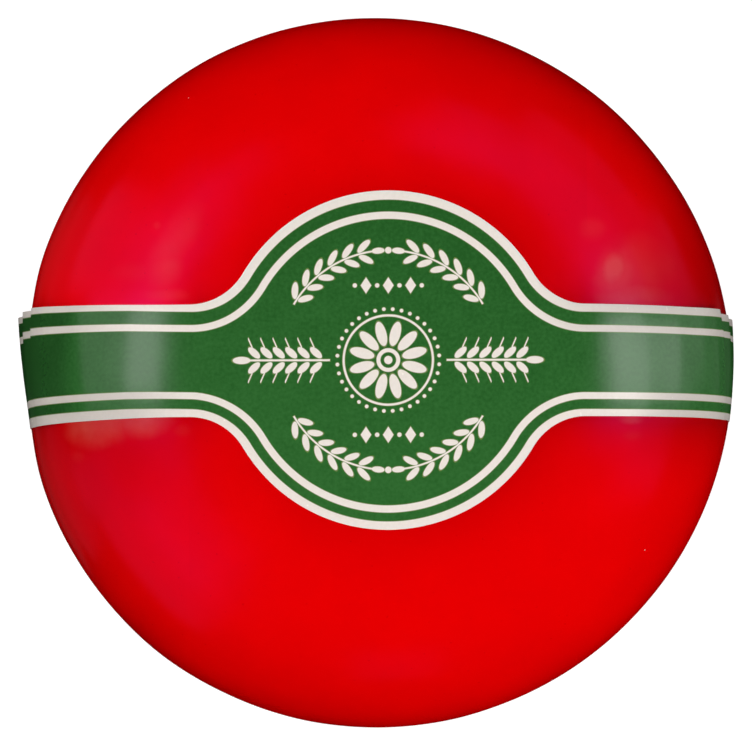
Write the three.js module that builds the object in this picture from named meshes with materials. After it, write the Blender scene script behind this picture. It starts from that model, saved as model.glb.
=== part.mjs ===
// A whole edam: a round, flattened cheese in red wax, with a printed paper label laid over its top.
// Millimetres, +Z up. The cheese lies on a small flat spot and the label faces up, arms along X.
import * as THREE from "three";

const { clamp, degToRad, lerp, smoothstep } = THREE.MathUtils;

// Cheese
const cheeseRadius = 85.2; // axis to the middle of the side
const cheeseHalfHeight = 46.9; // centre to the top
const roundness = 2.5; // 2 is an ellipse, more has a flatter top and a squarer shoulder
const settledHeight = 1.5; // what its own weight has flattened away underneath
const pressedSide = 0.7; // how far the wax is pressed in where the left arm pulls on it
const pressedSpread = degToRad(14); // reach of that pressed place round the side
const unevenness = 0.2; // height of the slow waves round the side

// Label, as cut from flat paper
const labelShift = { x: 2.6, y: 2.95 }; // label's centre from the cheese's axis
const labelTurn = degToRad(0.16);
const discRadius = 39.6;
const armHalfWidth = 13.15;
const filletRadius = 14.8; // concave corner between the disc and an arm
const armReachUnder = 54; // distance from the axis where the arms end under the cheese

// Label, as laid on the wax
const paperThickness = 0.3;
const glueGap = 0.3;
const paperStep = 0.25; // how much deeper the paper lies past a tuck
const tuckRun = 12; // length over which the paper rises towards its first tuck
const tuckStepRun = 0.3; // length of the step at a tuck
const arms = {
  left: {
    drop: 2.4, // how far the arm's middle sinks towards the front on its way down the side
    widening: 0.062, // share that the arm is wider at the side than at the disc
    backLift: 2.55, // stand-off of the arm's back edge from the wax at the side
    frontLift: 0.1,
    tucks: [
      // Slip is the back edge's jump at the tuck, and fadesAt the share of the width where it ends.
      { reach: 81.9, slip: 0.5, fadesAt: 0.3 },
      { reach: 83.9, slip: 0.95, fadesAt: 0 },
    ],
  },
  right: {
    drop: 2.1,
    widening: -0.012,
    backLift: 0.8,
    frontLift: 0.05,
    tucks: [
      { reach: 81.6, slip: 0.95, fadesAt: 0.76 },
      { reach: 83.7, slip: 0.75, fadesAt: 0.2 },
    ],
  },
};

// Fineness of the faces
const cheeseSegments = 80;
const cheeseRings = 32;
const labelColumnLength = 2.9;
const labelRows = 10;

// The cheese's half outline, from the top of the axis round the side to the bottom of the axis.
class HalfOutline extends THREE.Curve {
  getPoint(t, target = new THREE.Vector2()) {
    const angle = Math.PI * (0.5 - t);
    const across = Math.abs(Math.cos(angle)) / cheeseRadius;
    const up = Math.abs(Math.sin(angle)) / cheeseHalfHeight;
    const distance = (across ** roundness + up ** roundness) ** (-1 / roundness);
    return target.set(distance * Math.abs(Math.cos(angle)), distance * Math.sin(angle));
  }
}

const outline = new HalfOutline();
outline.arcLengthDivisions = 2000;

function heightAt(reach) {
  const share = Math.min(1, reach / cheeseRadius) ** roundness;
  return cheeseHalfHeight * (1 - share) ** (1 / roundness);
}

function reachAt(height) {
  const share = Math.abs(height / cheeseHalfHeight) ** roundness;
  return cheeseRadius * (1 - share) ** (1 / roundness);
}

// Arc length along the half outline from the top to a distance from the axis.
function arcTo(reach, under = false) {
  let [low, high] = under ? [0.5, 1] : [0, 0.5];
  for (let i = 0; i < 40; i++) {
    const middle = (low + high) / 2;
    const beyond = outline.getPointAt(middle).x > reach;
    if (beyond === under) low = middle;
    else high = middle;
  }
  return low * outline.getLength();
}

const shoulderArc = arcTo(0.75 * cheeseRadius);
const sideArc = arcTo(cheeseRadius);
const endArc = arcTo(armReachUnder, true);
for (const arm of Object.values(arms)) {
  arm.tuckArcs = arm.tucks.map((tuck) => arcTo(tuck.reach));
}

// Distance round the side from the left arm's middle, as an angle.
function angleFromLeft(point) {
  return Math.PI - Math.abs(Math.atan2(point.y, point.x));
}

// Moves a point of the even surface onto the slightly uneven real one.
function makeUneven(point) {
  const round = Math.atan2(point.y, point.x);
  const sideShare = (Math.hypot(point.x, point.y) / cheeseRadius) ** 2;
  const pressed = pressedSide * Math.exp(-((angleFromLeft(point) / pressedSpread) ** 4));
  const waves = unevenness * (0.8 * Math.sin(2 * round - 2.3) + Math.sin(3 * round + 1.55));
  return point.multiplyScalar(1 + (sideShare * (waves - pressed * sideShare)) / cheeseRadius);
}

function waxNormal(x, y, z) {
  const reach = Math.hypot(x, y);
  const outward = (reach / cheeseRadius) ** (roundness - 1) / cheeseRadius;
  const upward = (Math.abs(z) / cheeseHalfHeight) ** (roundness - 1) / cheeseHalfHeight;
  const round = reach > 0 ? outward / reach : 0;
  return new THREE.Vector3(x * round, y * round, Math.sign(z) * upward).normalize();
}

// A point above the wax: arc runs along X from the top, across is its Y, lift its height off the wax.
function aboveWax(arc, across, lift) {
  const { x: reach, y: height } = outline.getPointAt(Math.abs(arc) / outline.getLength());
  const level = Math.sqrt(Math.max(0, reach ** 2 - across ** 2));
  const wrap = height < 0 ? 1 : smoothstep(reach / cheeseRadius, 0.5, 0.8);
  const x = Math.sign(arc) * lerp(reach, level, wrap);
  const z = wrap === 1 ? height : heightAt(Math.hypot(x, across));
  const normal = waxNormal(x, across, z);
  return makeUneven(new THREE.Vector3(x, across, z)).addScaledVector(normal, lift);
}

// Half the width of the flat label at a distance along it from its centre.
function labelHalfWidth(along) {
  const filletStart = Math.sqrt((discRadius + filletRadius) ** 2 - (armHalfWidth + filletRadius) ** 2);
  const discEnd = (filletStart * discRadius) / (discRadius + filletRadius);
  const distance = Math.abs(along);
  if (distance <= discEnd) return Math.sqrt(discRadius ** 2 - distance ** 2);
  if (distance >= filletStart) return armHalfWidth;
  return armHalfWidth + filletRadius - Math.sqrt(filletRadius ** 2 - (filletStart - distance) ** 2);
}

// Stand-off of an arm's paper, most where it passes the side and nothing at its glued end.
// Share runs from 0 at the front edge to 1 at the back edge.
function armLift(arm, distance, share) {
  const rise = smoothstep(distance, shoulderArc, sideArc);
  const fall = smoothstep(distance, sideArc + 12, endArc - 6);
  return rise * (1 - fall) * (arm.backLift * share ** 1.8 + arm.frontLift * (1 - share) ** 6);
}

// Rise of the paper towards its first tuck, then one step down at each tuck.
function tuckLift(arm, distance) {
  const firstTuck = arm.tuckArcs[0];
  const ahead = arm.tuckArcs.filter((tuckArc) => distance <= tuckArc).length;
  return paperStep * ahead * smoothstep(distance, firstTuck - tuckRun, firstTuck);
}

// Sideways jump of the paper at the tucks it has passed, which take up more of it at its back edge.
function tuckSlip(arm, distance, share) {
  const passed = arm.tucks.filter((_, i) => distance > arm.tuckArcs[i]);
  return passed.reduce((sum, tuck) => sum + tuck.slip * smoothstep(share, tuck.fadesAt, 1), 0);
}

// Depth is 0 on the glued face of the paper and 1 on the printed one.
function labelPoint(along, share, depth) {
  const arc = along + labelShift.x;
  const distance = Math.abs(arc);
  const arm = arc < 0 ? arms.left : arms.right;
  const { x: reach, y: height } = outline.getPointAt(distance / outline.getLength());
  const wider = 1 + arm.widening * smoothstep(reach, 0.55 * cheeseRadius, cheeseRadius);
  const offMiddle = (2 * share - 1) * labelHalfWidth(along) * wider;
  const sunk = arm.drop * smoothstep(1 - clamp(height / cheeseHalfHeight, 0, 1), 0, 1);
  const middle = labelShift.y + along * labelTurn - sunk;
  const across = middle + offMiddle - tuckSlip(arm, distance, share);
  const lift = glueGap + armLift(arm, distance, share) + tuckLift(arm, distance) + depth * paperThickness;
  return aboveWax(arc, across, lift);
}

// Even stations along the label, with a close pair at each tuck so that the step is sharp.
function labelStations() {
  const count = Math.round((2 * endArc) / labelColumnLength);
  const even = Array.from({ length: count + 1 }, (_, i) => lerp(-endArc, endArc, i / count));
  const tuckPlaces = [
    ...arms.left.tuckArcs.map((tuckArc) => -tuckArc - labelShift.x),
    ...arms.right.tuckArcs.map((tuckArc) => tuckArc - labelShift.x),
  ];
  const steps = tuckPlaces.flatMap((place) => [place - tuckStepRun / 2, place + tuckStepRun / 2]);
  const clear = even.filter((along) => steps.every((step) => Math.abs(along - step) > 2 * tuckStepRun));
  return [...clear, ...steps].sort((a, b) => a - b);
}

function moveVertices(geometry, move) {
  const positions = geometry.getAttribute("position");
  const point = new THREE.Vector3();
  for (let i = 0; i < positions.count; i++) {
    const moved = move(point.fromBufferAttribute(positions, i));
    positions.setXYZ(i, moved.x, moved.y, moved.z);
  }
  geometry.computeVertexNormals();
  return geometry;
}

function cheese() {
  const restingHeight = settledHeight - cheeseHalfHeight;
  const restingReach = reachAt(restingHeight);
  const restingArc = arcTo(restingReach, true) / outline.getLength();
  const profile = [new THREE.Vector2(0, restingHeight)];
  for (let i = cheeseRings; i >= 0; i--) {
    const point = outline.getPointAt((restingArc * i) / cheeseRings);
    profile.push(i === cheeseRings ? new THREE.Vector2(point.x, restingHeight) : point);
  }
  profile.at(-1).setX(0);
  const turned = new THREE.LatheGeometry(profile, cheeseSegments).rotateX(Math.PI / 2);
  const geometry = moveVertices(turned, (point) => {
    const moved = makeUneven(point.clone());
    return point.z > restingHeight + 0.01 ? moved : moved.setZ(restingHeight);
  });
  const redWax = new THREE.MeshStandardMaterial({ color: 0xd80512, roughness: 0.35, metalness: 0 });
  return named("waxed_cheese", geometry, redWax);
}

function label() {
  const stations = labelStations();
  const columns = stations.length - 1;
  const sheet = new THREE.BoxGeometry(2, 2, 1, columns, labelRows, 1);
  const geometry = moveVertices(sheet, (point) => {
    const column = Math.round(((point.x + 1) / 2) * columns);
    return labelPoint(stations[column], (point.y + 1) / 2, point.z + 0.5);
  });
  const greenPaper = new THREE.MeshStandardMaterial({ color: 0x2e6a31, roughness: 0.45, metalness: 0 });
  return named("paper_label", geometry, greenPaper);
}

function named(name, geometry, material) {
  const mesh = new THREE.Mesh(geometry, material);
  mesh.name = name;
  return mesh;
}

// The group's origin is under the middle of the whole part, on the surface that it rests on.
const edam = new THREE.Group();
edam.add(cheese(), label());
const box = new THREE.Box3().setFromObject(edam);
const middle = box.getCenter(new THREE.Vector3());
for (const mesh of edam.children) mesh.position.set(-middle.x, -middle.y, -box.min.z);

export default edam;
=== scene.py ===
# A whole edam in red wax with a printed paper label, seen from straight above.
import math

import bpy
import numpy as np
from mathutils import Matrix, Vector, noise

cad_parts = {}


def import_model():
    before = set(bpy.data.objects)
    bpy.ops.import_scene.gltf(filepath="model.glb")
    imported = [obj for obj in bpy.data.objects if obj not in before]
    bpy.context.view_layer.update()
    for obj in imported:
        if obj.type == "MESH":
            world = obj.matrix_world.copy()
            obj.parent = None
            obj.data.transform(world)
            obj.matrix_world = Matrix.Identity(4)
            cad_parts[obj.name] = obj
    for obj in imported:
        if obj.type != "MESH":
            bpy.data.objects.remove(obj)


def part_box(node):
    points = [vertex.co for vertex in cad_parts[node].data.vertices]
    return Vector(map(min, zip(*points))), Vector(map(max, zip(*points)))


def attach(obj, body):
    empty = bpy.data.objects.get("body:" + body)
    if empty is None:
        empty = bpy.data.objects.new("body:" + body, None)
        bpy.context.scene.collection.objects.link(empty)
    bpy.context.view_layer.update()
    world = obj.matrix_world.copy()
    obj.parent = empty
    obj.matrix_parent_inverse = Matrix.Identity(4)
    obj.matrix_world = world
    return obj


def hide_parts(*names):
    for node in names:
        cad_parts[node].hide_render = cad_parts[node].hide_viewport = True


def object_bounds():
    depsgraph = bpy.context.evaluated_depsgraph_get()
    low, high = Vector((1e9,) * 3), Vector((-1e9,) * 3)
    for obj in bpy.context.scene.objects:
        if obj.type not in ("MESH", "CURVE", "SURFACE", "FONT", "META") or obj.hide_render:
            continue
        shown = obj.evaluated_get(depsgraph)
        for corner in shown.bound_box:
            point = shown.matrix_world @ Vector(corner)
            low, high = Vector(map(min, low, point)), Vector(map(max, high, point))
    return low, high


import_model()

cad_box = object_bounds()

MM = 0.001  # metres

# Cheese, in millimetres about its own axis and the middle of its height
CHEESE_RADIUS = 85.2
CHEESE_HALF_HEIGHT = 46.9
ROUNDNESS = 2.5  # 2 is an ellipse, more has a flatter top and a squarer shoulder
SETTLED_HEIGHT = 1.5
SETTLED_EDGE = 0.9  # how softly the flat spot underneath runs into the side
PRESSED_SIDE = 0.7  # how far the wax is pressed in where the left arm pulls on it
PRESSED_SPREAD = math.radians(14)
UNEVENNESS = 0.2  # height of the slow waves round the side
REST_HEIGHT = SETTLED_HEIGHT - CHEESE_HALF_HEIGHT

# Hollows of the wax below its even surface: depth and length of each kind of wave
HOLLOWS = ((0.32, 27.0), (0.10, 12.0), (0.016, 4.5))
HOLLOWS_FADE = 8.0  # height over which they fade out above the flat spot

# Fineness of the wax's mesh
WAX_SEGMENTS = 360
WAX_RINGS = 130
BASE_RINGS = 8
BASE_START = 0.8  # share of the flat spot's reach where its own small rings start

# Painted highlights on the wax, pale patches where its gloss shines most: middle, half length and half
# width, then turn in degrees and strength
PAINTED_HIGHLIGHT_PATCHES = (
    (55.5, 24, 6, 3.8, 80, 1.15),
    (56.5, 22.5, 9.5, 7, 80, 0.6),
    (61, 24.5, 11, 10, 0, 0.3),
    (60, 18, 11, 4.5, 0, 0.75),
    (50.5, 33.8, 4.2, 3.5, 0, 0.2),
    (-47.5, 30.5, 13, 5, 57, 0.3),
    (-49.5, 24, 6.5, 5, 50, 0.4),
    (-56, 23.5, 9, 2.8, 0, 0.08),
    (-49.5, 18.2, 7, 2.2, 0, 0.28),
    (-51.6, 34.5, 1.3, 1.2, 0, 0.2),
    (-66, -12.3, 9.5, 6.8, 4, 1.2),
    (-54.5, -11.3, 8.5, 5, 4, 1.1),
    (-45.7, -13.5, 3, 2, 0, 0.12),
    (-70.5, -19.8, 2.2, 2, 0, 0.1),
    (59.5, -11, 3.4, 1.5, 0, 0.5),
    (59.8, -14.8, 3.2, 1.7, 0, 0.12),
)

# Label, as cut from flat paper
LABEL_SHIFT_X = 2.6  # label's centre from the cheese's axis
LABEL_SHIFT_Y = 2.95
LABEL_TURN = math.radians(0.16)
DISC_RADIUS = 39.6
ARM_HALF_WIDTH = 13.15
FILLET_RADIUS = 14.8  # concave corner between the disc and an arm
ARM_REACH_UNDER = 54.0  # distance from the axis where the arms end under the cheese

# Label, as laid on the wax
PAPER_THICKNESS = 0.13
PAPER_GAP = 0.03  # between the paper and the wax, and between the layers of a tuck
LAYER = PAPER_THICKNESS + PAPER_GAP
TUCK_OVERLAP = 2.4  # length of paper that a tuck folds back under itself
TUCK_RUN = 13.0  # length over which the paper rises towards its first tuck
SLANT_RUN = 25.0  # length on both sides of the tucks over which the paper lies slantwise
LIFTED_LENGTH = 12.0  # length past the side over which the paper stays as far off the wax as at the side
GLUED_LENGTH = 6.0  # length at an arm's end that lies on the wax again
ARMS = {
    # Drop is how far an arm's middle sinks towards the front by the side, and widening its extra share of
    # width there. The lifts are the stand-off of its back and front edge from the wax, and slant is how far
    # its front edge is ahead of the back one at the tucks. A tuck's slip is the back edge's jump there, and
    # fades_at the share of the width where the jump ends.
    -1: {  # left
        "drop": 2.4, "widening": 0.062, "back_lift": 2.85, "front_lift": 0.1, "slant": 0.8,
        "tucks": ({"reach": 81.9, "slip": 0.5, "fades_at": 0.3},
                  {"reach": 83.9, "slip": 0.95, "fades_at": 0.0}),
    },
    1: {  # right
        "drop": 2.1, "widening": -0.012, "back_lift": 1.05, "front_lift": 0.05, "slant": 3.0,
        "tucks": ({"reach": 81.6, "slip": 0.95, "fades_at": 0.76},
                  {"reach": 83.7, "slip": 0.75, "fades_at": 0.2}),
    },
}

# Fineness of the label's mesh
COLUMN_LENGTH = 0.8
LABEL_ROWS = 44
FOLD_STEPS = 6  # columns round each fold of a tuck

# Print, in millimetres on the flat label. Each outline is shaped like the paper's, and is given by
# its disc's radius, its arms' half width and how far it is printed towards the front.
GREEN_OUTLINE = (37.57, 11.39, 0.11)
LINE_OUTLINES = ((35.09, 8.65, 0.48), (33.42, 7.09, 0.48))
LEFT_DRIFT = 0.5  # how far the print on the left arm has run off towards the back
PRINT_SOFTNESS = 0.07  # width over which a printed edge fades
FRINGE_WIDTH = 0.14  # width of the thin ink along a printed edge
FLAT_SPAN = 400.0  # length of paper that the print's coordinates cover

# Rosette in the disc's middle. Each petal, grain, awn, tip, leaf, bud or lozenge of the ornament is given
# by its half length and its half width, and each ring by its radius and its half width.
HEART_RADIUS = 0.95
PETALS = 12
PETAL = (2.9, 1.2)
PETAL_CIRCLE = 6.3  # radius of the circle that the petals' middles lie on
RINGS = ((2.3, 0.45), (10.4, 0.25))
DOTS = 36
DOT_RADIUS = 0.42
DOT_CIRCLE = 11.9

# Ears of wheat, from the disc's middle outwards
STALK_START = 13.6
STALK_HALF_WIDTH = 0.22
GRAIN_START = 15.4
GRAIN_PAIRS = 6
GRAIN_PITCH = 2.9
GRAIN = (1.75, 0.8)
GRAIN_OFF = 1.75  # distance of its middle from the stalk's
GRAIN_LEAN = math.radians(42)
AWN = (1.25, 0.13)
AWN_AHEAD = 0.95  # how far its middle is past its grain's
AWN_OFF = 4.1
AWN_LEAN = math.radians(66)
EAR_TIP = (2.1, 0.85)
EAR_TIP_AHEAD = 1.5

# Leafy sprays, bent round the disc's middle
SPRAY_RADIUS = 25.6
STEM_HALF_WIDTH = 0.2
LEAF_PAIRS = 6
LEAF_PITCH = math.radians(8.2)
LEAF = (1.9, 0.75)
LEAF_OFF = 1.55
LEAF_LEAN = math.radians(36)
BUD = (1.5, 0.7)
BUD_AHEAD = 1.3
SPRAY_DOT = 0.75

# Rows of lozenges and dots
LOZENGE = (1.25, 1.9)
LOZENGE_DOT = 0.5
LOZENGE_PITCH = 5.2
LOZENGE_ROW = 17.4  # distance of a row from the disc's middle

# Where painted shade changes along the label's edges: arm, edge, how far from the label's middle it starts,
# over how much it grows, and how much it adds. Arm is 1 for the right one, -1 for the left one and 0 for
# both. Edge is 1 for the back one, -1 for the front one and 0 for both.
PAINTED_SHADE_BESIDE_PAPER = (  # painted shade: share of the wax's red that is darkened beside the paper
    (1, 0, 0, 40, 0.12),
    (0, 0, 36, 10, 0.12),
    (-1, 1, 44, 8, -0.32),
    (1, 1, 60, 14, 0.06),
    (-1, -1, 55, 15, 0.05),
)
PAINTED_SHADE_REACH = (  # millimetres over which that fades
    (1, 1, 0, 50, 6),
    (-1, -1, 30, 30, 10),
    (1, 1, 60, 14, 12),
    (-1, -1, 55, 15, 9),
)
PAINTED_SHADE_ON_PAPER = (  # painted shade: share of the bare paper's light that is lost
    (1, 1, 34, 22, 0.25),
    (1, -1, 58, 11, 0.24),
    (-1, 1, 66, 12, 0.17),
    (-1, -1, 48, 13, 0.23),
)
LEAST_PAINTED_SHADE = 0.2  # painted shade: share of the red that is darkened right beside the paper everywhere
LEAST_SHADE_REACH = 8.0  # distance over which that fades everywhere
ARMS_SUNK = 2.2  # about how far the arms have sunk towards the front at the rim

# Colours of the wax, as shares of red, green and blue light
CLEAR_WAX = (0.90, 0.0, 0.0006, 1)
CLOUDY_WAX = (0.96, 0.0001, 0.0002, 1)
# Nearly black red that the painted shade beside the paper darkens the wax towards
WAX_SHADE_BLACK = (0.0, 0.0, 0.0006, 1)
# Colour of the painted highlights on the wax
PAINTED_HIGHLIGHT_COLOUR = (0.80, 0.45, 0.30, 1)
DARK_SPECK = (0.45, 0.0, 0.002, 1)
DUST = (0.85, 0.55, 0.5, 1)
WAX_SHINE = (0.8, 0.08, 1.0, 1)  # tint of what the wax mirrors

# Colours of the paper and the ink
CREAM = (0.88, 0.80, 0.72, 1)
BRIGHT_CREAM = (0.97, 0.89, 0.83, 1)
PAPER_SHADE_BLACK = (0.0, 0.0, 0.0, 1)  # painted shade darkens the bare paper towards it
THICK_INK = (0.020, 0.112, 0.020, 1)
THIN_INK = (0.034, 0.155, 0.033, 1)
# Colour that the painted shade darkens the ink towards at the left arm's end
INK_END_SHADE = (0.002, 0.010, 0.002, 1)
FRINGE_INK = (0.30, 0.36, 0.10, 1)


def smoothstep(low, high, value):
    share = np.clip((value - low) / (high - low), 0, 1)
    return share * share * (3 - 2 * share)


class HalfOutline:
    """The cheese's half outline from the top of its axis round the side to the bottom, by arc length."""

    def __init__(self):
        angle = np.linspace(math.pi / 2, -math.pi / 2, 12001)
        across = np.abs(np.cos(angle) / CHEESE_RADIUS) ** ROUNDNESS
        up = np.abs(np.sin(angle) / CHEESE_HALF_HEIGHT) ** ROUNDNESS
        distance = (across + up) ** (-1 / ROUNDNESS)
        self.reach = distance * np.cos(angle)
        self.height = distance * np.sin(angle)
        steps = np.hypot(np.diff(self.reach), np.diff(self.height))
        self.arc = np.concatenate(([0.0], np.cumsum(steps)))

    def at(self, arc):
        return np.interp(arc, self.arc, self.reach), np.interp(arc, self.arc, self.height)

    def arc_to(self, reach, under=False):
        side = len(self.arc) // 2
        if under:
            return float(np.interp(-reach, -self.reach[side:], self.arc[side:]))
        return float(np.interp(reach, self.reach[:side + 1], self.arc[:side + 1]))


OUTLINE = HalfOutline()
SHOULDER_ARC = OUTLINE.arc_to(0.75 * CHEESE_RADIUS)
SIDE_ARC = OUTLINE.arc_to(CHEESE_RADIUS)
END_ARC = OUTLINE.arc_to(ARM_REACH_UNDER, under=True)


def height_at(reach):
    share = np.minimum(1, reach / CHEESE_RADIUS) ** ROUNDNESS
    return CHEESE_HALF_HEIGHT * (1 - share) ** (1 / ROUNDNESS)


def reach_at(height):
    share = abs(height / CHEESE_HALF_HEIGHT) ** ROUNDNESS
    return CHEESE_RADIUS * (1 - share) ** (1 / ROUNDNESS)


def uneven(points):
    """The points of the even surface moved onto the slightly uneven real one."""
    turn = np.arctan2(points[..., 1], points[..., 0])
    side = (np.hypot(points[..., 0], points[..., 1]) / CHEESE_RADIUS) ** 2
    pressed = PRESSED_SIDE * np.exp(-((math.pi - np.abs(turn)) / PRESSED_SPREAD) ** 4)
    waves = UNEVENNESS * (0.8 * np.sin(2 * turn - 2.3) + np.sin(3 * turn + 1.55))
    return points * (1 + side * (waves - pressed * side) / CHEESE_RADIUS)[..., None]


def wax_normal(points):
    reach = np.maximum(np.hypot(points[..., 0], points[..., 1]), 1e-9)
    outward = (reach / CHEESE_RADIUS) ** (ROUNDNESS - 1) / CHEESE_RADIUS
    upward = (np.abs(points[..., 2]) / CHEESE_HALF_HEIGHT) ** (ROUNDNESS - 1) / CHEESE_HALF_HEIGHT
    normal = np.stack((points[..., 0] * outward / reach,
                       points[..., 1] * outward / reach,
                       np.sign(points[..., 2]) * upward), axis=-1)
    return normal / np.linalg.norm(normal, axis=-1, keepdims=True)


def hollow_depth(points):
    """How far the wax lies below its even surface: slow hollows with finer dips on them."""
    flat = points.reshape(-1, 3)
    depth = np.zeros(len(flat))
    for amount, length in HOLLOWS:
        waves = [noise.noise(Vector(point)) for point in flat / length]
        depth += amount * (0.5 - 0.5 * np.array(waves))
    away_from_base = smoothstep(REST_HEIGHT, REST_HEIGHT + HOLLOWS_FADE, flat[:, 2])
    return (depth * away_from_base).reshape(points.shape[:-1])


def wax_points(points, lift=0.0):
    """Points of the even surface moved onto the real wax, and off it by lift."""
    away = np.asarray(lift) - hollow_depth(points)
    return uneven(points) + wax_normal(points) * away[..., None]


def above_wax(arc, across, lift):
    """Points off the wax: arc runs along X from the top, across is the point's Y."""
    reach, height = OUTLINE.at(np.abs(arc))
    level = np.sqrt(np.maximum(0, reach ** 2 - across ** 2))
    wrap = np.where(height < 0, 1, smoothstep(0.5, 0.8, reach / CHEESE_RADIUS))
    x = np.sign(arc) * (reach + (level - reach) * wrap)
    z = np.where(wrap == 1, height, height_at(np.hypot(x, across)))
    return wax_points(np.stack((x, across, z), axis=-1), lift)


def axis_place():
    """Where the cheese's axis stands: its even outline is centred on the solid's box."""
    turn = np.linspace(0, 2 * math.pi, 3601)
    rim = np.stack((np.cos(turn), np.sin(turn), 0 * turn), axis=-1) * CHEESE_RADIUS
    rim = uneven(rim)
    low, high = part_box("waxed_cheese")
    middle = [(low[i] + high[i]) / 2 for i in (0, 1)]
    return [middle[i] - MM * (rim[:, i].min() + rim[:, i].max()) / 2 for i in (0, 1)]


AXIS = axis_place()
CHEESE_MIDDLE = np.array((AXIS[0], AXIS[1], -MM * REST_HEIGHT))


def mesh_piece(name, points, faces):
    """A smooth-shaded piece in the frame from points in millimetres about the cheese's middle."""
    mesh = bpy.data.meshes.new(name)
    mesh.from_pydata((points * MM + CHEESE_MIDDLE).tolist(), [], faces)
    mesh.polygons.foreach_set("use_smooth", [True] * len(mesh.polygons))
    mesh.update()
    piece = bpy.data.objects.new(name, mesh)
    bpy.context.scene.collection.objects.link(piece)
    return piece


def wax_coat():
    """The cheese's wax skin: rings from the top to the flat spot, then smaller ones across it."""
    last_arc = OUTLINE.arc_to(BASE_START * reach_at(REST_HEIGHT), under=True)
    reach, height = OUTLINE.at(np.linspace(0, last_arc, WAX_RINGS + 1)[1:])
    base = reach[-1] * np.linspace(1, 0, BASE_RINGS + 1)[1:-1]
    reach = np.concatenate((reach, base))
    height = np.concatenate((height, np.full(len(base), height[-1])))
    turn = np.linspace(0, 2 * math.pi, WAX_SEGMENTS, endpoint=False)
    rings = np.stack((reach[:, None] * np.cos(turn), reach[:, None] * np.sin(turn),
                      np.repeat(height[:, None], WAX_SEGMENTS, axis=1)), axis=-1)
    points = settled(wax_points(rings))
    top = wax_points(np.array([[0.0, 0.0, CHEESE_HALF_HEIGHT]]))
    bottom = np.array([[0.0, 0.0, REST_HEIGHT]])
    points = np.concatenate((points.reshape(-1, 3), top, bottom))
    return mesh_piece("wax_coat", points, ring_faces(len(reach), WAX_SEGMENTS))


def settled(points):
    """The points with those below the flat spot raised onto it, and an eased edge round it."""
    above = points[..., 2] - REST_HEIGHT
    eased = np.clip(above + SETTLED_EDGE, 0, None) ** 2 / (4 * SETTLED_EDGE)
    points[..., 2] = REST_HEIGHT + np.where(above > SETTLED_EDGE, above, eased)
    return points


def ring_faces(rings, segments):
    """Faces between rings of points, and from the first and the last ring to the two points after them."""
    top, bottom = rings * segments, rings * segments + 1
    last = (rings - 1) * segments
    around = [(i, (i + 1) % segments) for i in range(segments)]
    faces = []
    for here in range(0, last, segments):
        below = here + segments
        faces += [(here + i, below + i, below + j, here + j) for i, j in around]
    for i, j in around:
        faces.append((top, i, j))
        faces.append((bottom, last + j, last + i))
    return faces


def label_half_width(along):
    """Half the width of the flat label at a distance along it from its centre."""
    start = math.sqrt((DISC_RADIUS + FILLET_RADIUS) ** 2 - (ARM_HALF_WIDTH + FILLET_RADIUS) ** 2)
    disc_end = start * DISC_RADIUS / (DISC_RADIUS + FILLET_RADIUS)
    distance = np.abs(along)
    disc = np.sqrt(np.maximum(0, DISC_RADIUS ** 2 - distance ** 2))
    corner = np.sqrt(np.maximum(0, FILLET_RADIUS ** 2 - (start - distance) ** 2))
    fillet = ARM_HALF_WIDTH + FILLET_RADIUS - corner
    return np.where(distance <= disc_end, disc, np.where(distance >= start, ARM_HALF_WIDTH, fillet))


def arm_route(arm, start):
    """The paper's way along an arm, columns of (arc, lift, slips): flat, then folded under at each tuck.

    A tuck turns the paper back under itself and then on again, so it lies two layers deeper past it.
    Slips has one number a tuck, from 0 before it to 1 past it."""
    tuck_arcs = [OUTLINE.arc_to(tuck["reach"]) for tuck in arm["tucks"]]
    layers = 2 * len(tuck_arcs)
    route = []

    def run(from_arc, to_arc, layer, slips_from, slips_to):
        count = max(2, round(abs(to_arc - from_arc) / COLUMN_LENGTH))
        for share in np.linspace(0, 1, count, endpoint=False):
            arc = from_arc + (to_arc - from_arc) * share
            rise = smoothstep(tuck_arcs[0] - TUCK_RUN, tuck_arcs[0] - TUCK_OVERLAP - 1, arc)
            slips = slips_from + (slips_to - slips_from) * share
            route.append((arc, LAYER * layer * rise, *slips))

    def turn_under(arc, layer, outward, slips):
        for angle in np.linspace(0, math.pi, FOLD_STEPS, endpoint=False):
            bulge = LAYER / 2 * math.sin(angle)
            route.append((arc + outward * bulge, LAYER * (layer - 0.5 + 0.5 * math.cos(angle)), *slips))

    here = start
    slips = np.zeros(len(tuck_arcs))
    for i, tuck_arc in enumerate(tuck_arcs):
        past = slips.copy()
        past[i] = 1
        run(here, tuck_arc, layers, slips, slips)
        turn_under(tuck_arc, layers, 1, slips)
        run(tuck_arc, tuck_arc - TUCK_OVERLAP, layers - 1, slips, past)
        turn_under(tuck_arc - TUCK_OVERLAP, layers - 1, -1, past)
        here, slips, layers = tuck_arc - TUCK_OVERLAP, past, layers - 2
    run(here, END_ARC, 0, slips, slips)
    route.append((END_ARC, 0.0, *slips))
    return np.array(route)


def stand_off(arm, arc, share):
    """How far the paper stands off the wax, most where it passes the side and nothing at its glued end."""
    fall = smoothstep(SIDE_ARC + LIFTED_LENGTH, END_ARC - GLUED_LENGTH, arc)
    rise = smoothstep(SHOULDER_ARC, SIDE_ARC, arc) * (1 - fall)
    return rise[:, None] * (arm["back_lift"] * share ** 1.8 + arm["front_lift"] * (1 - share) ** 6)


def slant_ahead(arm, arc, share):
    """How far the paper near the tucks lies ahead along the arm, most at its front edge."""
    first_tuck = OUTLINE.arc_to(arm["tucks"][0]["reach"])
    before = smoothstep(first_tuck - SLANT_RUN, first_tuck - SLANT_RUN / 5, arc)
    near_tucks = before * (1 - smoothstep(SIDE_ARC, SIDE_ARC + SLANT_RUN, arc))
    return near_tucks[:, None] * arm["slant"] * (1 - share)


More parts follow.
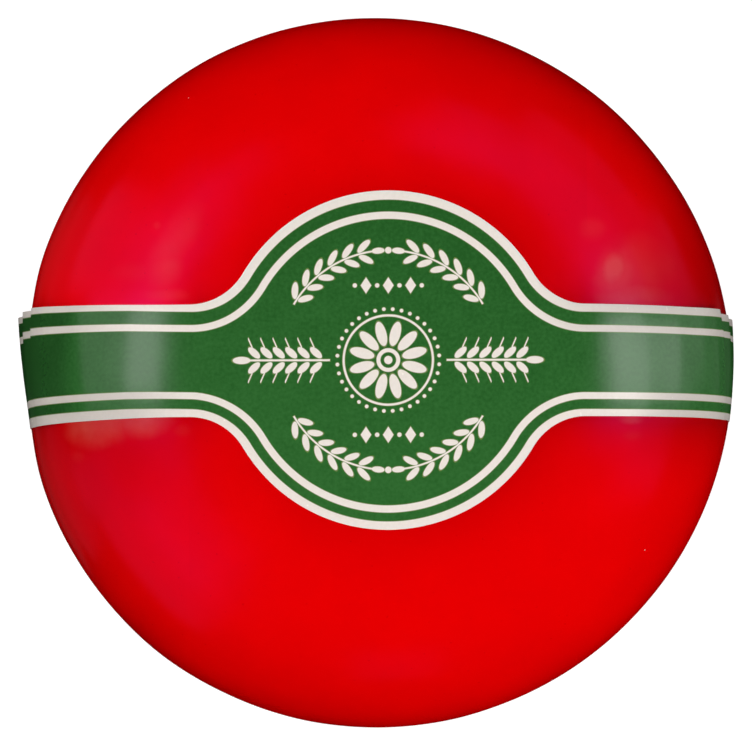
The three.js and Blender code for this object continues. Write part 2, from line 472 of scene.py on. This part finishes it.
def laid_across(arm, arc, middle, flat_across, slips, share):
    """The Y of the flat paper's points once laid: sunk, a little wider, and slipped at the tucks."""
    reach, height = OUTLINE.at(arc)
    wider = 1 + arm["widening"] * smoothstep(0.55 * CHEESE_RADIUS, CHEESE_RADIUS, reach)
    sunk = arm["drop"] * smoothstep(0, 1, 1 - np.clip(height / CHEESE_HALF_HEIGHT, 0, 1))
    across = (middle - sunk)[:, None] + flat_across * wider[:, None]
    for tuck, passed in zip(arm["tucks"], slips.T):
        across -= tuck["slip"] * passed[:, None] * smoothstep(tuck["fades_at"], 1, share)
    return across


def arm_sheet(side):
    """The printed and the glued face of half the label from its centre to an arm's end, and both flat."""
    arm = ARMS[side]
    route = arm_route(arm, side * LABEL_SHIFT_X)
    arc, lift, slips = route[:, 0], route[:, 1], route[:, 2:]
    along = np.concatenate(([0.0], np.cumsum(np.hypot(np.diff(arc), np.diff(lift)))))
    share = np.linspace(0, 1, LABEL_ROWS + 1)[None, :]
    flat_across = (2 * share - 1) * label_half_width(along)[:, None]
    middle = LABEL_SHIFT_Y + side * along * LABEL_TURN
    across = laid_across(arm, arc, middle, flat_across, slips, share)
    slant = slant_ahead(arm, arc, share)
    step_arc, step_lift = np.gradient(arc), np.gradient(lift)
    length = np.hypot(step_arc, step_lift)
    faces = []
    for depth in (0.5, -0.5):
        off_arc = depth * PAPER_THICKNESS * -step_lift / length
        off_lift = depth * PAPER_THICKNESS * step_arc / length
        lifted = (lift + off_lift + PAPER_GAP + PAPER_THICKNESS / 2)[:, None] + stand_off(arm, arc, share)
        faces.append(above_wax(side * ((arc + off_arc)[:, None] + slant), across, lifted))
    flat = np.stack((side * np.repeat(along[:, None], LABEL_ROWS + 1, axis=1), flat_across), axis=-1)
    return faces[0], faces[1], flat


def label_sheet():
    """The paper label as one thin closed sheet, with the print's flat coordinates as a UV map."""
    left_front, left_back, left_flat = arm_sheet(-1)
    right_front, right_back, right_flat = arm_sheet(1)
    front = np.concatenate((left_front[:0:-1], right_front))
    back = np.concatenate((left_back[:0:-1], right_back))
    flat = np.concatenate((left_flat[:0:-1], right_flat)).reshape(-1, 2)
    faces, kinds = sheet_faces(*front.shape[:2])
    piece = mesh_piece("label_sheet", np.concatenate((front.reshape(-1, 3), back.reshape(-1, 3))), faces)
    add_label_maps(piece.data, np.concatenate((flat, flat)), kinds)
    piece.data.set_sharp_from_angle(angle=math.radians(50))
    return piece


def sheet_faces(columns, rows):
    """Faces of a thin closed sheet whose printed points come before its glued ones, and their kinds."""
    def corner(column, row, face):
        return (face * columns + column) * rows + row

    faces, kinds = [], []
    for column in range(columns - 1):
        for row in range(rows - 1):
            square = ((column, row), (column + 1, row), (column + 1, row + 1), (column, row + 1))
            faces.append(tuple(corner(*spot, 0) for spot in square))
            faces.append(tuple(corner(*spot, 1) for spot in reversed(square)))
            kinds += ["printed", "glued"]
    for column in range(columns - 1):
        for row, order in ((0, 1), (rows - 1, -1)):
            rim = ((column, row, 0), (column, row, 1), (column + 1, row, 1), (column + 1, row, 0))
            faces.append(tuple(corner(*spot) for spot in rim[::order]))
            kinds.append("edge")
    for row in range(rows - 1):
        for column, order in ((0, -1), (columns - 1, 1)):
            rim = ((column, row, 0), (column, row, 1), (column, row + 1, 1), (column, row + 1, 0))
            faces.append(tuple(corner(*spot) for spot in rim[::order]))
            kinds.append("edge")
    return faces, kinds


def add_label_maps(mesh, flat, kinds):
    """Two UV maps: the print's own flat coordinates, and a layout that fits a square for baking."""
    corners = np.zeros(len(mesh.loops), dtype=np.int32)
    mesh.loops.foreach_get("vertex_index", corners)
    place = flat[corners]
    kind = np.repeat(np.array(kinds), 4)
    add_map(mesh, "Print", unprinted_aside(place, kind) / FLAT_SPAN + 0.5)
    add_map(mesh, "OFBake", bake_layout(place, kind == "printed"))


def add_map(mesh, name, layout):
    mesh.uv_layers.new(name=name).data.foreach_set("uv", layout.astype(np.float32).ravel())


def unprinted_aside(place, kind):
    """The flat places, with those of the glued face moved off to where nothing is printed."""
    return place + np.where(kind == "glued", FLAT_SPAN / 4, 0)[:, None] * np.array((0, 1))


def bake_layout(place, printed):
    """A square that holds the disc in a corner, the arms upright beside it, and the rest small above it."""
    margin, small = 1, 0.25
    disc_half = DISC_RADIUS + 8
    arm_half = ARM_HALF_WIDTH + 0.5
    along = np.repeat(place.reshape(-1, 4, 2).mean(axis=1)[:, 0], 4)
    layout = place * small + np.array((disc_half, 2.4 * DISC_RADIUS))
    disc = printed & (np.abs(along) <= disc_half)
    layout[disc] = place[disc] + np.array((disc_half, DISC_RADIUS))
    for side in (1, -1):
        arm = printed & (side * along > disc_half)
        upright = np.stack((-place[arm][:, 1], place[arm][:, 0]), axis=-1)
        layout[arm] = side * upright + np.array((2 * disc_half + (2 - side) * arm_half, -disc_half))
    return (layout + margin) / (2 * disc_half + 4 * arm_half + 3 * margin)


class Field:
    """What a socket gives, most often a number that varies. Sums written on it become Math nodes."""

    def __init__(self, finish, socket):
        self.finish = finish
        self.socket = socket

    def __add__(self, other):
        return self.finish.maths("ADD", self, other)

    __radd__ = __add__

    def __sub__(self, other):
        return self.finish.maths("SUBTRACT", self, other)

    def __rsub__(self, other):
        return self.finish.maths("SUBTRACT", other, self)

    def __mul__(self, other):
        return self.finish.maths("MULTIPLY", self, other)

    __rmul__ = __mul__

    def __truediv__(self, other):
        return self.finish.maths("DIVIDE", self, other)

    def __pow__(self, other):
        return self.finish.maths("POWER", self, other)

    def __mod__(self, other):
        return self.finish.maths("FLOORED_MODULO", self, other)

    def __abs__(self):
        return self.finish.maths("ABSOLUTE", self)

    def __gt__(self, other):
        return self.finish.maths("GREATER_THAN", self, other)

    def __lt__(self, other):
        return self.finish.maths("LESS_THAN", self, other)


class Finish:
    """A material or the room in the making. A node comes from its type, its settings, then its sockets."""

    def __init__(self, made):
        self.made = made
        self.made.use_nodes = True
        self.tree = self.made.node_tree
        self.tree.nodes.clear()

    def node(self, kind, settings=None, sockets=None, output=0):
        node = self.tree.nodes.new(kind)
        for name, value in (settings or {}).items():
            setattr(node, name, value)
        for key, value in (sockets or {}).items():
            if isinstance(value, Field):
                self.tree.links.new(value.socket, node.inputs[key])
            else:
                node.inputs[key].default_value = value
        return Field(self, node.outputs[output]) if len(node.outputs) else None

    def maths(self, operation, *values):
        return self.node("ShaderNodeMath", {"operation": operation}, dict(enumerate(values)))

    def clamp(self, value):
        return self.node("ShaderNodeMath", {"operation": "ADD", "use_clamp": True}, {0: value, 1: 0.0})

    def least(self, *values):
        result = values[0]
        for value in values[1:]:
            result = self.maths("MINIMUM", result, value)
        return result

    def most(self, *values):
        result = values[0]
        for value in values[1:]:
            result = self.maths("MAXIMUM", result, value)
        return result

    def choose(self, mask, inside, outside):
        """Inside where mask is 1 and outside where it is 0, for numbers."""
        return outside + mask * (inside - outside)

    def blend(self, share, first, second):
        """One colour into another."""
        sockets = {0: share, 6: first, 7: second}
        return self.node("ShaderNodeMix", {"data_type": "RGBA"}, sockets, output=2)

    def scaled(self, vector, scale):
        return self.node("ShaderNodeVectorMath", {"operation": "MULTIPLY"}, {0: vector, 1: scale})

    def parts(self, vector):
        """A vector's X and Y."""
        return [self.node("ShaderNodeSeparateXYZ", None, {0: vector}, output=axis) for axis in ("X", "Y")]

    def noise(self, place, length, detail):
        """Soft noise from about 0 to 1 whose waves have this length in millimetres."""
        sockets = {"Vector": place, "Scale": 1 / length, "Detail": detail}
        return self.node("ShaderNodeTexNoise", None, sockets)

    def bumps(self, height, strength, depth):
        """The bump of a height from 0 to 1 that stands for this depth in metres."""
        sockets = {"Strength": strength, "Distance": depth, "Height": height}
        return self.node("ShaderNodeBump", None, sockets)

    def surface(self, sockets):
        """The finished material, whose whole surface is one shader with these sockets."""
        shader = self.node("ShaderNodeBsdfPrincipled", None, sockets)
        self.node("ShaderNodeOutputMaterial", None, {"Surface": shader})
        return self.made


def object_place(finish):
    """Where a point is on the object, in millimetres."""
    place = finish.node("ShaderNodeTexCoord", output="Object")
    return finish.scaled(place, (1 / MM, 1 / MM, 1 / MM))


def spots(finish, place, pitch, radius, share):
    """Scattered round spots that fade from their middle, in this share of the cells of this pitch."""
    sockets = {"Vector": place, "Scale": 1 / pitch}
    distance = finish.node("ShaderNodeTexVoronoi", None, sockets)
    chance, _ = finish.parts(finish.node("ShaderNodeTexVoronoi", None, sockets, output="Color"))
    return finish.clamp(1 - distance * (pitch / radius)) * (chance < share)


def along_edge(finish, x, y, arm, edge, start, growth):
    """0 up to a distance along the label's edge, then rising to 1."""
    distance = x * arm if arm else abs(x)
    share = finish.clamp((distance - start) / growth)
    return share * ((y * edge) > 0) if edge else share


def added_along_edges(finish, x, y, places):
    """What the places of a table add up to at a point."""
    return sum(amount * along_edge(finish, x, y, *place) for *place, amount in places)


def painted_shade_beside_paper(finish, x, y):
    """Painted shade: how much the wax's red is darkened beside the paper, standing for light that enters it
    there and is partly lost.
    """
    x, y = x - LABEL_SHIFT_X, y - LABEL_SHIFT_Y
    sunk = ARMS_SUNK * along_edge(finish, x, y, 0, 0, 40, 45)
    inside = inside_outline(finish, x, y + sunk, DISC_RADIUS, ARM_HALF_WIDTH, 0)
    outside = finish.most(0 - inside, 0)
    shade = LEAST_PAINTED_SHADE + added_along_edges(finish, x, y, PAINTED_SHADE_BESIDE_PAPER)
    reach = LEAST_SHADE_REACH + added_along_edges(finish, x, y, PAINTED_SHADE_REACH)
    return shade * finish.maths("EXPONENT", 0 - outside / reach)


def highlight_patches(finish, x, y, ragged):
    """Painted highlights: pale places on the wax with soft ragged edges."""
    highlight = 0
    for centre_x, centre_y, half_length, half_width, turn, strength in PAINTED_HIGHLIGHT_PATCHES:
        along, across = turned(x - centre_x, y - centre_y, math.radians(turn))
        size = (along / half_length) ** 2 + (across / half_width) ** 2
        highlight = finish.most(highlight, strength * finish.clamp(1 - size + ragged) ** 2)
    return highlight


def red_wax():
    """Smooth dyed wax: a gloss that is uneven from dipping, faint cloudy places, lumps and specks, with
    painted shade beside the paper and painted highlights where the gloss shines most.
    """
    finish = Finish(bpy.data.materials.new("red_wax"))
    place = object_place(finish)
    x, y = finish.parts(place)
    x, y = x - AXIS[0] / MM, y - AXIS[1] / MM
    cloud = finish.noise(place, 16, 3)
    grain = finish.noise(place, 2.2, 2)
    speck = finish.noise(place, 0.7, 1)
    lump = spots(finish, place, 7, 1.1, 0.5)
    dust = finish.clamp(spots(finish, place, 9, 0.22, 0.2) * 3)
    highlight = highlight_patches(finish, x, y, (finish.noise(place, 7, 3) - 0.5) * 0.9)
    dark_speck = finish.clamp((speck - 0.74) * 14)
    colour = finish.blend(finish.clamp((cloud - 0.35) * 2.6), CLEAR_WAX, CLOUDY_WAX)
    # Painted shade on the wax beside the paper
    colour = finish.blend(painted_shade_beside_paper(finish, x, y), colour, WAX_SHADE_BLACK)
    # Painted highlights where the gloss shines most
    colour = finish.blend(highlight * 0.1, colour, PAINTED_HIGHLIGHT_COLOUR)
    colour = finish.blend(dark_speck * 0.35, colour, DARK_SPECK)
    colour = finish.blend(dust * 0.7, colour, DUST)
    height = 0.7 * cloud + 0.25 * grain + 0.05 * speck + 0.35 * lump
    return finish.surface({
        "Base Color": colour,
        "Roughness": 0.13 + 0.14 * cloud + 0.03 * grain,
        "Normal": finish.bumps(height, 0.35, 0.06 * MM),
        "Specular IOR Level": 1.0,
        "Specular Tint": WAX_SHINE,
    })


def inside_outline(finish, x, y, disc_radius, arm_half_width, slip):
    """How far inside a printed outline a flat point is, in millimetres."""
    x, y = abs(x), abs(y + slip)
    centre_y = ARM_HALF_WIDTH + FILLET_RADIUS
    fillet_radius = centre_y - arm_half_width
    centre_x = math.sqrt((disc_radius + fillet_radius) ** 2 - centre_y ** 2)
    disc = disc_radius - (x * x + y * y) ** 0.5
    fillet = ((x - centre_x) ** 2 + (y - centre_y) ** 2) ** 0.5 - fillet_radius
    arm = arm_half_width - y
    by_disc = (y * centre_x) > (x * centre_y)
    return finish.choose(x > centre_x, arm, finish.choose(by_disc, disc, fillet))


def edge_mask(finish, inside):
    """1 where inside is positive and 0 where it is negative, in millimetres, with a soft printed edge."""
    return finish.clamp(inside / PRINT_SOFTNESS + 0.5)


def dot(x, y, radius):
    """How far inside a round dot a point is, in millimetres."""
    return radius - (x ** 2 + y ** 2) ** 0.5


def ellipse(x, y, half_length, half_width):
    """About how far inside an ellipse a point is, in millimetres."""
    size = ((x / half_length) ** 2 + (y / half_width) ** 2) ** 0.5
    return (1 - size) * half_width


def turned(x, y, angle):
    cosine, sine = math.cos(angle), math.sin(angle)
    return x * cosine + y * sine, y * cosine - x * sine


def rosette(finish, radius, turn):
    """A daisy with a ring round its heart, another round its petals and a circle of dots round it."""
    petal_turn = 2 * math.pi / PETALS
    swing = turn % petal_turn - petal_turn / 2
    along = radius * finish.maths("COSINE", swing)
    across = radius * finish.maths("SINE", swing)
    petal = ellipse(along - PETAL_CIRCLE, across, *PETAL)
    rings = [half_width - abs(radius - middle) for middle, half_width in RINGS]
    dot_turn = 2 * math.pi / DOTS
    dot_swing = turn % dot_turn - dot_turn / 2
    dots = dot(radius - DOT_CIRCLE, radius * dot_swing, DOT_RADIUS)
    return finish.most(petal, HEART_RADIUS - radius, *rings, dots)


def wheat_ear(finish, side, up):
    """An ear of wheat lying along the label: a stalk, pairs of slanted grains with awns, and a tip."""
    end = GRAIN_START + GRAIN_PITCH * GRAIN_PAIRS
    in_ear = finish.least(side - GRAIN_START, end - side) > 0
    stalk = finish.least(STALK_HALF_WIDTH - up, side - STALK_START, end + 0.5 - side)
    along = (side - GRAIN_START) % GRAIN_PITCH - GRAIN_PITCH / 2
    grain = ellipse(*turned(along, up - GRAIN_OFF, GRAIN_LEAN), *GRAIN)
    awn_along, awn_across = turned(along - AWN_AHEAD, up - AWN_OFF, AWN_LEAN)
    awn = finish.least(AWN[1] - abs(awn_across), AWN[0] - abs(awn_along))
    tip = ellipse(side - end - EAR_TIP_AHEAD, up, *EAR_TIP)
    return finish.most(stalk, finish.choose(in_ear, finish.most(grain, awn), -1), tip)


def leaf_sprays(finish, side, up, radius):
    """Leafy sprays that bend round the middle from both sides towards a dot above it and one below."""
    first, last = LEAF_PITCH, LEAF_PITCH * (1 + LEAF_PAIRS)
    swing = finish.maths("ARCTAN2", side, up)
    in_spray = finish.least(swing - first, last - swing) * SPRAY_RADIUS
    along = (LEAF_PITCH / 2 - swing % LEAF_PITCH) * SPRAY_RADIUS
    leaves = [ellipse(*turned(along, off, LEAF_LEAN), *LEAF)
              for off in (radius - SPRAY_RADIUS - LEAF_OFF, SPRAY_RADIUS - radius - LEAF_OFF)]
    stem = finish.least(STEM_HALF_WIDTH - abs(radius - SPRAY_RADIUS), in_spray + 0.9)
    bud = ellipse((swing - first) * SPRAY_RADIUS + BUD_AHEAD, radius - SPRAY_RADIUS, *BUD)
    middle = dot(side, up - SPRAY_RADIUS, SPRAY_DOT)
    return finish.most(finish.choose(in_spray > 0, finish.most(*leaves), -1), stem, bud, middle)


def lozenge_row(finish, x, up):
    """Three lozenges with dots between and beside them, over and under the middle."""
    along = (x + LOZENGE_PITCH / 2) % LOZENGE_PITCH - LOZENGE_PITCH / 2
    between = x % LOZENGE_PITCH - LOZENGE_PITCH / 2
    off = up - LOZENGE_ROW
    half_length, half_height = LOZENGE
    lozenge = 1 - abs(along) / half_length - abs(off) / half_height
    row_half = 1.5 * LOZENGE_PITCH + LOZENGE_DOT
    return finish.least(finish.most(lozenge, dot(between, off, LOZENGE_DOT)), row_half - abs(x))


def bare_shapes(finish, x, y):
    """How far inside what is left unprinted a flat point is: the border, the line and the ornament."""
    side, up = abs(x), abs(y)
    radius = (x * x + y * y) ** 0.5
    border = 0 - inside_outline(finish, x, y, *GREEN_OUTLINE)
    line_outside, line_inside = (inside_outline(finish, x, y, *outline) for outline in LINE_OUTLINES)
    return finish.most(
        border,
        finish.least(line_outside, 0 - line_inside),
        rosette(finish, radius, finish.maths("ARCTAN2", y, x)),
        wheat_ear(finish, side, up),
        leaf_sprays(finish, side, up, radius),
        lozenge_row(finish, x, up),
    )


def bare_paper(finish, x, y, fibre):
    """Cream paper with painted shade that darkens it along the arms."""
    cream = finish.blend(fibre, CREAM, BRIGHT_CREAM)
    return finish.blend(added_along_edges(finish, x, y, PAINTED_SHADE_ON_PAPER), cream, PAPER_SHADE_BLACK)


def green_ink(finish, x, y, fibre, blotch):
    """Mottled ink with painted light that makes it paler towards the front and the left, paler on the right
    arm, and painted shade that darkens it at the left arm's end.
    """
    # Painted light: the ink is paler towards the left and the front, and paler again on the right arm
    paler = 0.58 - 0.14 * finish.clamp(x / 90 + 0.5) - 0.009 * y
    paler = paler + 0.28 * along_edge(finish, x, y, 1, 0, 45, 12)
    mottle = finish.clamp(paler + (blotch - 0.5) * 0.85 + (fibre - 0.5) * 1.9)
    ink = finish.blend(mottle, THICK_INK, THIN_INK)
    # Painted shade: the ink darkens towards the left arm's end
    return finish.blend(0.38 * along_edge(finish, x, y, -1, 0, 77, 6), ink, INK_END_SHADE)


def printed_paper():
    """Satin printed paper: bare cream paper with green ink, border lines and an ornament left bare."""
    finish = Finish(bpy.data.materials.new("printed_paper"))
    flat = finish.node("ShaderNodeUVMap", {"uv_map": "Print"})
    flat = finish.node("ShaderNodeVectorMath", {"operation": "SUBTRACT"}, {0: flat, 1: (0.5, 0.5, 0)})
    flat = finish.scaled(flat, (FLAT_SPAN, FLAT_SPAN, 0))
    x, y = finish.parts(flat)
    y = y - LEFT_DRIFT * along_edge(finish, x, y, -1, 0, 38, 25)

    fibre = finish.noise(flat, 0.9, 3)
    blotch = finish.noise(flat, 7, 3)
    bare = bare_shapes(finish, x, y)
    unprinted = edge_mask(finish, bare)
    fringe = edge_mask(finish, bare + FRINGE_WIDTH) * (1 - unprinted)
    ink = finish.blend(fringe * 0.55, green_ink(finish, x, y, fibre, blotch), FRINGE_INK)
    colour = finish.blend(unprinted, ink, bare_paper(finish, x, y, fibre))

    streaks = finish.noise(finish.scaled(flat, (1, 0.08, 1)), 2.2, 2)
    combed = finish.noise(finish.scaled(flat, (0.12, 1, 1)), 0.8, 2)
    cockle = finish.noise(finish.scaled(flat, (1, 0.3, 1)), 9, 2)
    height = 0.55 * cockle + 0.25 * streaks + 0.4 * combed + 0.1 * fibre - 0.1 * unprinted
    return finish.surface({
        "Base Color": colour,
        "Roughness": 0.12 + 0.03 * fibre + 0.05 * streaks + 0.10 * unprinted,
        "Normal": finish.bumps(height, 0.3, 0.05 * MM),
        "Specular IOR Level": 1.0,
    })


def dress():
    """The visible pieces, each riding on the body and standing for its solid."""
    cheese = wax_coat()
    cheese.data.materials.append(red_wax())
    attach(cheese, "root")
    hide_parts("waxed_cheese")
    label = label_sheet()
    label.data.materials.append(printed_paper())
    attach(label, "root")
    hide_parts("paper_label")


# Camera: straight above, far enough off to see the round side as the photograph does
PHOTO_SIZE = (752, 747)
PHOTO_AXIS = (377.1, 372.7)  # pixel of the cheese's axis
PHOTO_RADIUS = 354.5  # pixels
CAMERA_HEIGHT = 1.55
SENSOR = 36.0


def camera():
    data = bpy.data.cameras.new("camera")
    data.sensor_width = SENSOR
    distance = CAMERA_HEIGHT - CHEESE_MIDDLE[2]
    pixels_per_metre = PHOTO_RADIUS / (CHEESE_RADIUS * MM)
    data.lens = pixels_per_metre * distance * SENSOR / PHOTO_SIZE[0]
    data.clip_start, data.clip_end = 0.05, 50
    eye = bpy.data.objects.new("camera", data)
    off_x = (PHOTO_AXIS[0] - PHOTO_SIZE[0] / 2) / pixels_per_metre
    off_y = (PHOTO_SIZE[1] / 2 - PHOTO_AXIS[1]) / pixels_per_metre
    eye.location = (AXIS[0] - off_x, AXIS[1] - off_y, CAMERA_HEIGHT)
    bpy.context.scene.collection.objects.link(eye)
    bpy.context.scene.camera = eye


# Lights: softboxes and paler places of the room, which the gloss mirrors, and fills, which only light.
# Azimuth is anticlockwise from +X, and reach goes to either side of it. A band has its upper and lower
# edge off the vertical and its brightness, on a scale where a lit white surface is 1. All angles are in
# degrees, as seen from the cheese.
LIGHT_DISTANCE = 1.15
MIRRORED = (
    ("left_box", 177, 10, ((36, 40, 0.5), (40, 52, 1.75), (52, 62, 0.55), (62, 76, 0.42))),
    ("right_box", 3, 10, ((41, 45, 0.85), (45, 52, 2.05), (52, 60, 1.85))),
    ("right_box_end", 3, 8, ((60, 80, 1.2), (80, 91, 0.45), (91, 116, 0.18), (116, 146, 0.05))),
    ("right_wall", 21, 8, ((44, 54, 0.55), (54, 66, 0.36), (66, 102, 0.13))),
    ("back_right", 44, 15, ((44, 66, 0.21), (66, 86, 0.1))),
    ("back_wall", 68, 8, ((42, 54, 0.26), (54, 66, 0.14))),
    ("back_end", 80, 5, ((42, 54, 0.12),)),
    ("back_left", 123, 7, ((42, 54, 0.12),)),
    ("left_back", 138, 8, ((36, 44, 0.16), (44, 54, 0.27), (54, 66, 0.08))),
    ("left_wall", 156, 11, ((36, 44, 0.42), (44, 54, 0.5), (54, 66, 0.28), (66, 98, 0.2))),
    ("left_front", 200, 7, ((36, 44, 0.15), (44, 66, 0.06), (66, 98, 0.12))),
    ("front_left", 221, 14, ((36, 44, 0.09), (44, 54, 0.15), (54, 66, 0.21), (66, 90, 0.13))),
    ("front_lamp", 274, 9, ((64, 84, 0.05),)),
    ("right_front", 340, 5, ((54, 78, 0.12),)),
    ("left_table_back", 160, 10, ((98, 126, 0.055), (126, 150, 0.03))),
    ("left_table_front", 200, 12, ((98, 126, 0.055), (126, 150, 0.03))),
)
FILL_REACH = 26
FILL_HALVES = (("upper", 30, 60), ("lower", 60, 85))
FILLS = (  # azimuth, then the brightness of the upper and of the lower half
    (0, 0.1, 0.0),
    (60, 0.15, 0.1),
    (126, 1.95, 1.1),
    (175, 0.4, 0.1),
    (235, 0.95, 0.85),
    (325, 1.2, 2.7),
)
TOP_FILL = 1.36  # brightness
TOP_FILL_SIZE = 1.2
# Light from the floor onto the underside: 1 for its back half and -1 for its front one, and its brightness
BOUNCES = ((1, 0.3), (-1, 0.38))
BOUNCE_SIZE = 0.8
BOUNCE_DEPTH = 2 * MM  # below the floor, which lets it through


def light_panel(name, place, rotation, size, bright, shine):
    """One area light with its size in metres, mirrored in the gloss only where it has shine."""
    data = bpy.data.lights.new(name, "AREA")
    data.shape = "RECTANGLE"
    data.size, data.size_y = size
    data.energy = bright * math.pi * size[0] * size[1]
    lamp = bpy.data.objects.new(name, data)
    lamp.location = place
    lamp.rotation_euler = rotation
    lamp.visible_camera = False
    lamp.visible_glossy = shine
    data.cycles.use_multiple_importance_sampling = shine
    bpy.context.scene.collection.objects.link(lamp)


def light_band(name, azimuth, reach, upper, lower, bright, shine):
    """A panel of light that faces the top of the cheese."""
    turn, tilt = math.radians(azimuth), math.radians((upper + lower) / 2)
    height = 2 * LIGHT_DISTANCE * math.tan(math.radians(lower - upper) / 2)
    width = 2 * LIGHT_DISTANCE * math.sin(tilt) * math.tan(math.radians(reach))
    outward = Vector((math.sin(tilt) * math.cos(turn), math.sin(tilt) * math.sin(turn), math.cos(tilt)))
    place = Vector((AXIS[0], AXIS[1], cad_box[1][2])) + outward * LIGHT_DISTANCE
    light_panel(name, place, (0, tilt, turn), (height, width), bright, shine)


def lights():
    for name, azimuth, reach, bands in MIRRORED:
        for upper, lower, bright in bands:
            light_band(f"{name}_{upper}", azimuth, reach, upper, lower, bright, True)
    for azimuth, *brights in FILLS:
        for (half, upper, lower), bright in zip(FILL_HALVES, brights):
            light_band(f"fill_{azimuth}_{half}", azimuth, FILL_REACH, upper, lower, bright, False)
    above = (AXIS[0], AXIS[1], cad_box[1][2] + LIGHT_DISTANCE)
    light_panel("fill_top", above, (0, 0, 0), (TOP_FILL_SIZE, TOP_FILL_SIZE), TOP_FILL, False)
    for side, bright in BOUNCES:
        below = (AXIS[0], AXIS[1] + side * BOUNCE_SIZE / 4, -BOUNCE_DEPTH)
        size = (BOUNCE_SIZE, BOUNCE_SIZE / 2)
        light_panel(f"bounce_{side}", below, (math.pi, 0, 0), size, bright, False)


FLOOR_HALF = 6.0  # metres


def pale_floor():
    """A dull white floor that glows enough to look lit."""
    return Finish(bpy.data.materials.new("pale_floor")).surface({
        "Base Color": (0.3, 0.3, 0.3, 1),
        "Roughness": 0.9,
        "Specular IOR Level": 0.1,
        "Emission Color": (1, 1, 1, 1),
        "Emission Strength": 0.88,
    })


def floor():
    """A pale floor that only the camera sees."""
    corners = [(x * FLOOR_HALF, y * FLOOR_HALF, 0) for x, y in ((-1, -1), (1, -1), (1, 1), (-1, 1))]
    mesh = bpy.data.meshes.new("floor")
    mesh.from_pydata(corners, [], [(0, 1, 2, 3)])
    mesh.materials.append(pale_floor())
    ground = bpy.data.objects.new("floor", mesh)
    ground.visible_glossy = False
    ground.visible_diffuse = False
    ground.visible_shadow = False
    bpy.context.scene.collection.objects.link(ground)


def world():
    """A white room to look at, which gives no light of its own."""
    room = Finish(bpy.data.worlds.new("room"))
    seen = room.node("ShaderNodeLightPath", output="Is Camera Ray")
    white = room.node("ShaderNodeBackground", None, {"Color": (1, 1, 1, 1), "Strength": seen})
    room.node("ShaderNodeOutputWorld", None, {"Surface": white})
    bpy.context.scene.world = room.made


camera()
floor()
world()
lights()
dress()
bpy.context.scene.view_settings.view_transform = "Standard"
